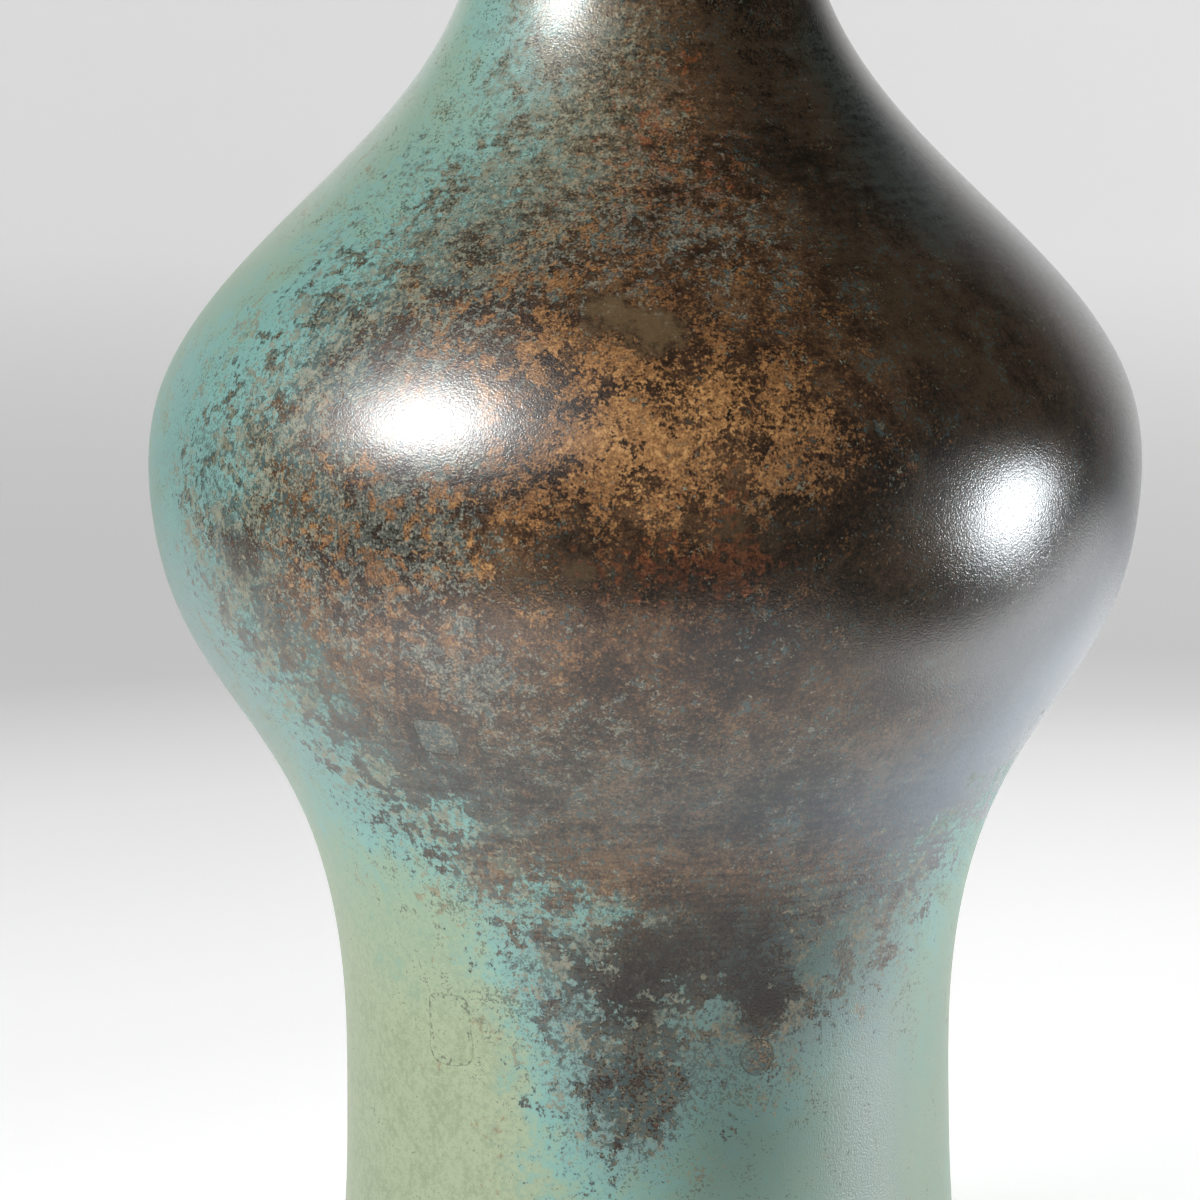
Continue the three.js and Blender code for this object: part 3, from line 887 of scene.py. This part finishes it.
def paint_zones(piece, green_shift=0.0, grey_shift=0.0):
    """Write every zone of the patina on the vertices of a piece of the wall."""
    corners = corners_of(piece)
    azimuth = azimuth_of(corners)
    height = corners[:, 2] / MM
    radius = np.hypot(corners[:, 0], corners[:, 1]) / MM
    skin = np.interp(height, outside[:, 1] / MM, outside[:, 0] / MM)
    zones = {name: sum_of_dabs(azimuth, height, radius, dabs) for name, dabs in ZONE_DABS.items()}
    for name in FULL_AT_ONE:
        zones[name] = np.clip(zones[name], 0, 1)
    zones["slate"] += grey_shift

    low, high = slope(height, *LOW_SLOPE), slope(height, *HIGH_SLOPE)
    zones["crisp"] = 1 - NECK_SOFTNESS * high
    zones["still"] = slope(height, *STILL_SLOPE)
    zones["ashen"] = hump(height, *ASH_HUMP)
    zones["wax"] = slope(height, *WAX_BOTTOM) * slope(height, *WAX_TOP)
    zones["rubbed"] = RUBBED_STRENGTH * sum(hump(height, *band) for band in RUBBED_HUMPS)
    left_part = slope(azimuth, *COARSE_SLOPE) * slope(azimuth, *COARSE_BACK)
    zones["coarse"] = left_part * (1 - NECK_EVENNESS * high)
    dim_foot = FOOT_DIMNESS * low * hump(azimuth, *DIM_HUMP)
    zones["dimmed"] = np.clip(dim_foot + zones["dimmed"], 0, DIM_LIMIT)
    zones["inner"] = slope(skin - radius, *INSIDE_SLOPE)
    zones["worn"] = slope(height, *LIP_SLOPE) + slope(height, *FOOT_SLOPE)

    depth = np.minimum(-depth_inside(azimuth, height, BROWN_OUTLINE), FULL_GREEN)
    depth += sum_of_dabs(azimuth, height, radius, GREEN_DABS) + green_shift
    left_half = slope(azimuth, *LEFT_SLOPE) * slope(azimuth, *LEFT_BACK)
    spread = 1 + NECK_SPREAD * high - WAIST_TIGHTNESS * hump(height, *WAIST_HUMP) * left_half
    zones["border"] = depth / spread
    zones["ripeness"] = depth - RIPE_DELAY * (slope(height, *RIPE_SLOPE) + hump(height, *BELLY_HUMP))

    from_left = np.where(azimuth > TURN_BACK, TURN_BACK - TURN_RATE * (azimuth - TURN_BACK), azimuth)
    zones["yellowed"] = low * slope(from_left + HAY_LEAN * slope(height, *HAY_RISE), *HAY_SLOPE)
    # The grey-green of the right waist is the patina's; where it clears towards the right edge, the paler
    # band left there is a painted highlight.
    right_side = slope(from_left, *GREY_SLOPE) * (1 - GREY_CLEARING_FOR_HIGHLIGHT * slope(azimuth, *GREY_SIDE))
    left_rim = RIM_GREY * hump(azimuth, *RIM_AZIMUTH) * hump(height, *RIM_HEIGHT)
    border_rim = BORDER_GREY * low * hump(depth, *BORDER_HUMP)
    zones["greyed"] = np.clip(low * right_side + left_rim + border_rim, 0, 1)
    for name, values in zones.items():
        piece.data.attributes.new(name, "FLOAT", "POINT").data.foreach_set("value", values.astype(np.float32))
    return zones


wall_zones = paint_zones(wall)
for node, piece in inserts.items():
    paint_zones(piece, *next(shifts for kind, shifts in INSERT_SHIFTS.items() if node.startswith(kind)))
for name, values in wall_zones.items():
    print(f"zone {name}: from {values.min():.2f} to {values.max():.2f}")

# %% [markdown]
# The patina.
# Under a thin coat of wax lie, from the metal up: a brown oxide that goes from soot black through
# ochre to gold, rust red where it was hottest and charred where the flame stayed, and on top the green,
# which starts as teal specks, closes to turquoise and dries to a pale green far from its border.
# An image could hold all that, but a sum of noises stays sharp from close by and goes all the way round.
# In each sum, the number beside a zone or a noise says how much it counts. The two numbers of a fade
# are the levels between which the stain comes in.

# %% Lay the grains
# Each grain is (size in millimetres, detail, roughness, distortion, how far its noise is slid).
GRAINS = {
    "cloud": (22, 1.0, 0.5, 0.0, (0, 0, 0)),
    "patch": (6, 1.0, 0.5, 0.4, (4, 1, 2)),
    "clump": (5, 1.0, 0.5, 0.4, (0, 0, 0)),
    "lump": (2.4, 1.0, 0.6, 0.5, (2, 6, 3)),
    "blot": (1.4, 1.0, 0.6, 0.4, (5, 2, 7)),
    "speck": (1.2, 2.0, 0.7, 0.0, (0, 0, 0)),
    "grit": (0.9, 1.0, 0.7, 0.0, (1, 2, 3)),
    "dust": (0.4, 1.0, 0.6, 0.0, (3, 5, 1)),
}
STREAK_SCALE, STREAK_SLIDE, STREAK_GRAIN = (0.12, 0.12, 1), (2, 7, 1), (0.9, 1.0, 0.7)
EVEN = (1, 1, 1)


def attribute(start, name):
    """A zone painted on the mesh, by its name."""
    return start.node("ShaderNodeAttribute", {"attribute_name": name}, output="Fac")


def grain(place, size, detail, roughness=0.5, distortion=0.0):
    """Cloudy noise about 0, whose clumps are about this many millimetres across."""
    sockets = {"Vector": place, "Scale": 1 / (size * MM), "Detail": detail,
               "Roughness": roughness, "Distortion": distortion}
    return place.node("ShaderNodeTexNoise", {"noise_dimensions": "3D"}, sockets) - 0.5


def survey(start, place):
    """All that is known at a spot of the surface: its zones, its grains and what follows from them."""
    spot = SimpleNamespace(**{name: attribute(start, name) for name in [*wall_zones, "rim"]})
    for name, (size, detail, roughness, distortion, shift) in GRAINS.items():
        noise = grain(stretch(place, EVEN, shift), size, detail, roughness, distortion)
        setattr(spot, name, noise)
    spot.fine = spot.dust + spot.grit * 0.6
    spot.streak = grain(stretch(place, STREAK_SCALE, STREAK_SLIDE), *STREAK_GRAIN) * spot.rubbed
    spot.tone = spot.cloud * 0.8 + spot.clump * 0.5 + spot.speck * 0.6 + spot.fine * 0.6 + spot.streak * 0.7
    spot.near = fade(spot.border, -30.0, 2.0)
    spot.quiet = fade(spot.calm + spot.clump * 0.9 + spot.speck * 0.8, 0.36, 0.76)
    spot.sooty = fade(spot.soot + spot.clump * 0.5 + spot.lump * 0.4 + spot.speck * 0.3, 0.15, 1.0)
    return spot


print("grains:", ", ".join(GRAINS))

# %% Mix the brown oxide
def paint(red, green, blue):
    """A colour as it looks on screen, from 0 to 255, as the linear light that Blender works in."""
    def linear(level):
        level = level / 255
        return level / 12.92 if level <= 0.04045 else ((level + 0.055) / 1.055) ** 2.4
    return (linear(red), linear(green), linear(blue), 1.0)


def tones(signal, stops, middle=0.5):
    """Turn noise into a colour, from (level, screen colour) stops: noise of 0 is at the middle level."""
    return ramp(signal + middle, [(level, paint(*colour)) for level, colour in stops])


WARM_BROWN = [(0.2, (27, 20, 15)), (0.42, (51, 37, 26)), (0.58, (80, 58, 39)), (0.8, (112, 84, 57))]
COOL_GREY = [(0.2, (50, 52, 48)), (0.5, (88, 92, 84)), (0.8, (142, 142, 126))]
SOOT_BLACK = [(0.3, (27, 23, 18)), (0.7, (58, 47, 35))]
GOLD = [(0.2, (72, 49, 33)), (0.4, (108, 76, 47)), (0.6, (150, 108, 66)), (0.85, (198, 152, 97))]
OLIVE = paint(94, 79, 55)


def oxide(spot):
    """The brown: cool and warm patches, soot, specks of gold and quiet places."""
    # The slate zone is cool grey patina, with one painted highlight in it.
    cooled = spot.blot + spot.dust * 0.5 + spot.clump * 0.4 + spot.slate * 0.4 - spot.ochre * 0.3
    cool = tones(spot.fine * 1.2 + spot.clump * 0.5, COOL_GREY)
    brown = mix(fade(cooled, 0.14, 0.32) * 0.85, tones(spot.tone, WARM_BROWN), cool)
    brown = mix(spot.sooty * 0.9, brown, tones(spot.tone, SOOT_BLACK))
    mottle = spot.grit + (spot.lump * 1.3 - spot.grit) * spot.coarse
    gilded = mottle + spot.dust * 0.5 + spot.patch * 0.9 + spot.streak * 0.4 + spot.ochre * 0.42
    gilded = fade(gilded - spot.quiet - spot.soot * 0.2, 0.08, 0.28)
    shine = spot.speck + spot.cloud * 0.6 + spot.dust * 0.6 + spot.ochre * 0.4 + spot.coarse * 0.15
    brown = mix(gilded * (0.92 - spot.still * 0.5), brown, tones(shine, GOLD, middle=0.28))
    return mix(spot.quiet * 0.7, brown, OLIVE)


# %% Lay the stains on the brown
SAGE = [(0.35, (100, 106, 95)), (0.65, (142, 146, 126))]
TEAL = paint(64, 88, 88)
ASH = [(0.3, (44, 48, 44)), (0.7, (86, 91, 85))]
WASH = [(0.2, (62, 55, 42)), (0.45, (112, 108, 88)), (0.75, (172, 168, 142))]
RUST = [(0.3, (86, 46, 29)), (0.7, (148, 86, 48))]
CHAR = paint(22, 14, 8)
DUSK = [(0.3, (23, 29, 28)), (0.7, (48, 58, 55))]
PAINTED_VEIL_BLUE = paint(104, 124, 140)


def stained(spot, brown):
    """The brown with its sage, teal, ash and rust, and then soot, char, dusk and a painted reflection of the
    pale table on the lower right.
    """
    sage = spot.dust * 0.6 - spot.speck + spot.patch * 0.5 + spot.streak * 0.6 + spot.near * 0.3
    sage = fade(sage - spot.quiet, 0.17, 0.35) * (0.3 + spot.crisp * 0.5) * (1 - spot.still * 0.6)
    brown = mix(sage, brown, tones(spot.grit, SAGE))
    teal = spot.clump * 0.6 - spot.grit + spot.streak * 0.6 + spot.near * 0.2 - spot.ochre * 0.2
    brown = mix(fade(teal - spot.quiet, 0.10, 0.26) * (0.2 + spot.crisp * 0.5), brown, TEAL)
    brown = mix(spot.ashen * 0.4, brown, tones(spot.tone, ASH))
    wash = tones(spot.fine * 0.8 + spot.blot * 0.9 + spot.streak * 0.5 + spot.clump * 0.5, WASH)
    brown = mix(spot.near * (1 - spot.crisp) * 1.3, brown, wash)
    hot = fade(spot.rust * 0.5 + spot.blot * 0.7 + spot.lump * 0.4 + spot.speck * 0.3, 0.22, 0.42)
    brown = mix(hot * 0.8, brown, tones(spot.fine, RUST))
    brown = mix(spot.sooty * 0.55, brown, tones(spot.tone, SOOT_BLACK))
    charred = spot.char + spot.clump * 0.6 + spot.lump * 0.6 + spot.speck * 0.8 + spot.streak * 0.8
    brown = mix(fade(charred, 0.3, 0.95) * 0.8, brown, CHAR)
    dusky = fade(spot.dusk + spot.clump * 0.5 + spot.speck * 0.5, 0.1, 0.9)
    brown = mix(dusky * 0.8, brown, tones(spot.tone + spot.streak * 0.6, DUSK))
    # The bluish-grey veil of the lower right is a painted reflection of the pale table.
    return mix(spot.haze * 0.7, brown, PAINTED_VEIL_BLUE)


# %% Mix the green
TURQUOISE = [(0.0, (113, 155, 149)), (0.15, (116, 165, 158)), (0.4, (126, 159, 140)), (1.0, (143, 161, 133))]
HAY = [(0.3, (131, 145, 115)), (0.6, (149, 162, 131))]
PALE_GREEN = paint(151, 173, 161)
GREY_GREEN = paint(112, 126, 123)
DIM_GREEN = paint(69, 93, 87)
STAIN = [(0.35, (76, 66, 50)), (0.7, (144, 116, 82))]
PIT = paint(60, 64, 56)
RIPENING = 56


def green_share(spot):
    """How much of the spot the green covers: its border, broken up by noise in millimetres."""
    noise = spot.cloud * 20 + spot.clump * 50 + spot.patch * 20 + spot.lump * spot.coarse * 44
    noise = noise + spot.speck * 52 + spot.dust * 24 + spot.streak * 40
    return fade((spot.border + noise * (0.2 + spot.crisp * 0.8)) * spot.crisp, -4.0, 5.0)


def verdigris(spot):
    """The green itself: turquoise that dries to pale green, with stains and pits in it."""
    ripe = spot.ripeness + spot.cloud * 40 + spot.clump * 40 + spot.speck * 40
    green = tones(ripe * (1 / RIPENING), TURQUOISE, middle=0)
    hay = tones(spot.speck + spot.clump * 0.5 + spot.dust * 0.5, HAY)
    green = mix(spot.yellowed * fade(ripe + spot.cloud * 30, -2, 30), green, hay)
    green = mix((1 - spot.crisp) * 0.8, green, PALE_GREEN)
    green = mix(spot.greyed * 0.8, green, GREY_GREEN)
    green = mix(spot.dimmed * 0.8, green, DIM_GREEN)
    stain = spot.patch * 0.9 + spot.lump * spot.coarse + spot.grit * 0.8 + spot.dust * 0.4 + spot.streak * 0.5
    stain = fade(stain - spot.border * 0.01, 0.02, 0.16) * (0.25 + spot.crisp * 0.35)
    green = mix(stain, green, tones(spot.speck + spot.coarse * 0.1, STAIN))
    pits = spot.dust - spot.grit * 0.6 + spot.clump * 0.6 + spot.pitted - spot.border * 0.004
    return mix(fade(pits, 0.08, 0.22) * 0.7, green, PIT)


# %% Put the patina together
SEAM = paint(52, 52, 44)
INSIDE_BROWN = [(0.3, (36, 32, 27)), (0.55, (56, 54, 46)), (0.75, (92, 104, 94))]
BARE_COPPER = paint(150, 102, 66)
BUMP_SIZE = 0.32
BUMP_DEPTH = 0.06 * MM
WAXED = {"Specular IOR Level": 0.52, "Coat Roughness": 0.28}


def patina(name):
    """The finish of the wall and of the inserts in it."""
    material, start, place = new_material(name)
    spot = survey(start, place)
    green = green_share(spot)
    colour = mix(green, stained(spot, oxide(spot)), verdigris(spot))
    seam = fade(spot.rim + spot.grit * 1.6, 0.98, 1.12)
    colour = mix(seam * 0.6, colour, SEAM)
    colour = mix(spot.inner, colour, tones(spot.cloud + spot.clump * 0.8 + spot.speck * 0.4, INSIDE_BROWN))
    bare = fade(spot.worn + spot.speck * 0.8 + spot.clump * 0.6, 0.5, 0.8)
    colour = mix(bare, colour, BARE_COPPER)
    roughness = 0.08 + spot.crisp * 0.10 - spot.wax * 0.02 + green * (spot.crisp * 0.5 - 0.30)
    bumps = {"Height": grain(place, BUMP_SIZE, 1.0), "Strength": 1.0, "Distance": BUMP_DEPTH}
    finish_material(start, WAXED, Base_Color=colour, Roughness=roughness, Metallic=bare * 0.8,
                    Coat_Weight=spot.wax * (0.35 - green * 0.3),
                    Normal=start.node("ShaderNodeBump", None, bumps))
    print(name, "has", len(material.node_tree.nodes), "nodes")
    return material


wall.data.materials.append(patina("patinated_copper"))
chaplet_metal = patina("chaplet_metal")
plug_metal = patina("plug_metal")
for node, piece in inserts.items():
    piece.data.materials.append(plug_metal if "plug" in node else chaplet_metal)

# %% [markdown]
# The metal of the plate and the solder.
# Nobody coloured the underside, so the plate shows brown metal with cloudy tarnish, and the solder is a
# dull grey with dark clouds of flux. Both are plain metals that noise makes uneven.

# %% Mix the metals of the foot
PLATE_TONES = [(0.25, (78, 56, 38)), (0.75, (154, 112, 72))]
SOLDER_TONES = [(0.25, (92, 90, 86)), (0.75, (172, 170, 164))]
PLATE_CLOUD, SOLDER_CLOUD = 14, 5
SPECKS_PER_CLOUD = 12
TARNISH_DEPTH = 0.05 * MM


def tarnished(name, metal_tones, size):
    """A bare metal with cloudy tarnish of about this size in millimetres."""
    material, start, place = new_material(name)
    cloud = grain(place, size, 3.0, 0.6)
    speck = grain(place, size / SPECKS_PER_CLOUD, 2.0, 0.6)
    level = cloud * 1.6 + speck * 0.8
    bumps = {"Height": speck, "Strength": 0.3, "Distance": TARNISH_DEPTH}
    finish_material(start, {"Metallic": 0.85}, Base_Color=tones(level, metal_tones),
                    Roughness=0.45 - level * 0.25, Normal=start.node("ShaderNodeBump", None, bumps))
    print(name, "has", len(material.node_tree.nodes), "nodes")
    return material


plate.data.materials.append(tarnished("turned_plate", PLATE_TONES, PLATE_CLOUD))
solder.data.materials.append(tarnished("soft_solder", SOLDER_TONES, SOLDER_CLOUD))

# %% [markdown]
# Back into the frame.
# Every piece takes the place of an imported one, which is hidden. Nothing on a vase moves, so all of
# them ride on the root.

# %% Put the pieces in the frame
def fit(piece, node):
    """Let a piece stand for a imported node."""
    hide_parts(node)
    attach(piece, "root")


fit(wall, "vase_body")
fit(plate, "base_plate")
fit(solder, "base_solder_ring")
for node, piece in inserts.items():
    fit(piece, node)
print("fitted: the wall, the plate, the solder and", len(inserts), "inserts")
